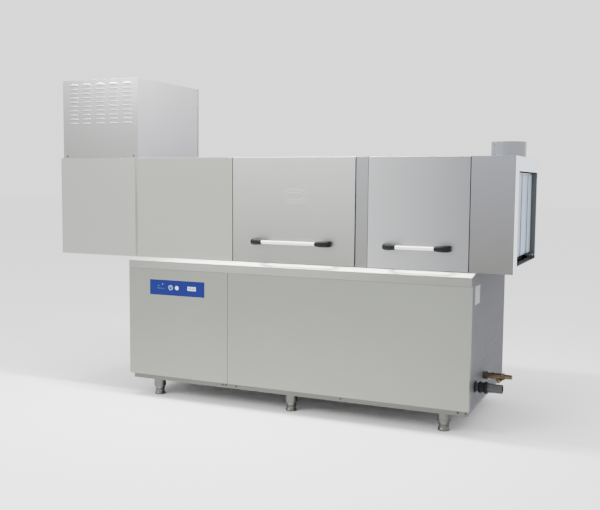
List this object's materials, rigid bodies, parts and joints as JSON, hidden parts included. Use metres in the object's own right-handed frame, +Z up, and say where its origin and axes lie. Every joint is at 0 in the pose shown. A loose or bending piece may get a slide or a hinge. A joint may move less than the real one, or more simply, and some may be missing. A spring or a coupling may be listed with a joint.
{
  "type": "rack conveyor dishwasher",
  "caption": "Rack-conveyor commercial dishwasher: cabinet on feet, wash tunnel with lift-up doors, loading end with exhaust collar, dryer module with blower tower.",
  "frame": {"origin": "middle of the footprint, on the floor", "axes": "+Z up, +X along the tunnel towards the loading end, -Y towards the operator side with the doors"},
  "size_m": [2.438, 0.77, 1.649],
  "materials": {
    "stainless": "brushed",
    "feet": "satin",
    "panel_steel": "satin brushed",
    "ledge_steel": "bright brushed",
    "hood_steel": "satin brushed",
    "pillar_steel": "satin brushed",
    "door_steel": "satin brushed",
    "tower_steel": "satin brushed",
    "bright_steel": "bright",
    "collar_steel": "bright",
    "galvanised": "galvanised",
    "membrane_blue": "satin",
    "key_white": "satin",
    "screw_steel": "polished",
    "handle_tube": "satin",
    "handle_black": "satin",
    "shoe_polymer": "satin",
    "weight_iron": "rough",
    "cable_steel": "satin",
    "shaft_steel": "satin",
    "motor_grey": "painted",
    "element_steel": "satin",
    "curtain_strip": "translucent",
    "brass_fitting": "satin",
    "pvc_grey": "satin",
    "pvc_black": "satin"
  },
  "bodies": {
    "machine": {"base_frame": "stainless", "front_panel_left": "panel_steel", "front_panel_right": "panel_steel", "side_panel_right": "panel_steel", "side_panel_left": "panel_steel", "rear_panel": "panel_steel", "drip_ledge": "ledge_steel", "control_panel": "membrane_blue", "electrical_box": "stainless", "panel_screws": "screw_steel", "tank_body": "stainless", "tunnel_back_wall": "hood_steel", "tunnel_roof": "hood_steel", "tunnel_front_panel": "hood_steel", "tunnel_frame": "stainless", "door_guides": "stainless", "centre_pillar": "pillar_steel", "vestibule_shell": "hood_steel", "entry_frame": "bright_steel", "exhaust_collar": "collar_steel", "wash_door_cables": "cable_steel", "prewash_door_cables": "cable_steel", "dryer_module_shell": "hood_steel", "tower_shell": "tower_steel", "tower_front": "tower_steel", "blower_housing": "galvanised", "blower_motor": "motor_grey", "heater_battery": "element_steel", "conveyor_rails": "stainless", "conveyor_gearmotor": "motor_grey", "spray_arms": "stainless", "rinse_arms": "stainless", "strainer_trays": "stainless", "tank_heaters": "element_steel", "pumps": "motor_grey", "boiler": "stainless", "water_inlet": "brass_fitting", "drain_pipe": "pvc_grey", "drain_nut": "pvc_black"},
    "wash_door_body": {"wash_door": "door_steel", "wash_handle_tube": "handle_tube", "wash_handle_brackets": "handle_black", "wash_door_shoes": "shoe_polymer"},
    "prewash_door_body": {"prewash_door": "door_steel", "prewash_handle_tube": "handle_tube", "prewash_handle_brackets": "handle_black", "prewash_door_shoes": "shoe_polymer"},
    "wash_weights_body": {"wash_counterweights": "weight_iron"},
    "prewash_weights_body": {"prewash_counterweights": "weight_iron"},
    "wash_shaft_body": {"wash_balance_shaft": "shaft_steel"},
    "prewash_shaft_body": {"prewash_balance_shaft": "shaft_steel"},
    "ring_key_body": {"ring_key": "key_white"},
    "round_key_body": {"round_key": "key_white"},
    "carriage_body": {"pawl_carriage": "stainless"},
    "lever_body": {"drive_lever": "stainless"},
    "blower_wheel_body": {"blower_wheel": "galvanised"},
    "feet_body": {"levelling_feet": "feet"},
    "exit_curtain_body": {"exit_curtain": "curtain_strip"},
    "middle_curtain_body": {"middle_curtain": "curtain_strip"},
    "entry_curtain_body": {"entry_curtain": "curtain_strip"}
  },
  "joints": [
    {"name": "wash_door_lift", "type": "slide", "parent": "machine", "child": "wash_door_body", "axis": [0, 0, 1], "range_m": [0, 0.4], "deforming": ["wash_door_cables"]},
    {"name": "wash_weights_drop", "type": "slide", "parent": "machine", "child": "wash_weights_body", "axis": [0, 0, 1], "range_m": [-0.4, 0]},
    {"name": "wash_shaft_turn", "type": "hinge", "parent": "machine", "child": "wash_shaft_body", "pos_m": [0.164, -0.274, 1.212], "axis": [1, 0, 0], "range_deg": [-1433, 0]},
    {"name": "prewash_door_lift", "type": "slide", "parent": "machine", "child": "prewash_door_body", "axis": [0, 0, 1], "range_m": [0, 0.4], "deforming": ["prewash_door_cables"]},
    {"name": "prewash_weights_drop", "type": "slide", "parent": "machine", "child": "prewash_weights_body", "axis": [0, 0, 1], "range_m": [-0.4, 0]},
    {"name": "prewash_shaft_turn", "type": "hinge", "parent": "machine", "child": "prewash_shaft_body", "pos_m": [0.785, -0.274, 1.212], "axis": [1, 0, 0], "range_deg": [-1433, 0]},
    {"name": "ring_key_press", "type": "slide", "parent": "machine", "child": "ring_key_body", "axis": [0, 1, 0], "range_m": [0, 0.001], "stiffness_N_per_m": 500, "springref_m": -0.002},
    {"name": "round_key_press", "type": "slide", "parent": "machine", "child": "round_key_body", "axis": [0, 1, 0], "range_m": [0, 0.001], "stiffness_N_per_m": 500, "springref_m": -0.002},
    {"name": "carriage_stroke", "type": "slide", "parent": "machine", "child": "carriage_body", "axis": [1, 0, 0], "range_m": [-0.075, 0.075]},
    {"name": "lever_swing", "type": "hinge", "parent": "machine", "child": "lever_body", "pos_m": [-0.62, 0.06, 0.48], "axis": [0, 1, 0], "range_deg": [-16.6, 16.6]},
    {"name": "blower_wheel_spin", "type": "hinge", "parent": "machine", "child": "blower_wheel_body", "pos_m": [-0.969, -0.01, 1.455], "axis": [0, 1, 0], "continuous": true},
    {"name": "exit_curtain_swing", "type": "hinge", "parent": "machine", "child": "exit_curtain_body", "pos_m": [-1.191, 0.01, 1.164], "axis": [0, 1, 0], "range_deg": [-75, 75]},
    {"name": "middle_curtain_swing", "type": "hinge", "parent": "machine", "child": "middle_curtain_body", "pos_m": [0.5185, 0.01, 1.164], "axis": [0, 1, 0], "range_deg": [-75, 75]},
    {"name": "entry_curtain_swing", "type": "hinge", "parent": "machine", "child": "entry_curtain_body", "pos_m": [1.191, 0.01, 1.164], "axis": [0, 1, 0], "range_deg": [-75, 75]},
    {"name": "feet_height", "type": "slide", "parent": "machine", "child": "feet_body", "axis": [0, 0, 1], "range_m": [-0.03, 0]}
  ],
  "couplings": [
    {"joint": "wash_weights_drop", "follows": "wash_door_lift", "ratio": -1},
    {"joint": "wash_shaft_turn", "follows": "wash_door_lift", "rad_per_m": -62.5},
    {"joint": "prewash_weights_drop", "follows": "prewash_door_lift", "ratio": -1},
    {"joint": "prewash_shaft_turn", "follows": "prewash_door_lift", "rad_per_m": -62.5},
    {"joint": "lever_swing", "follows": "carriage_stroke", "rad_per_m": 3.8462}
  ]
}
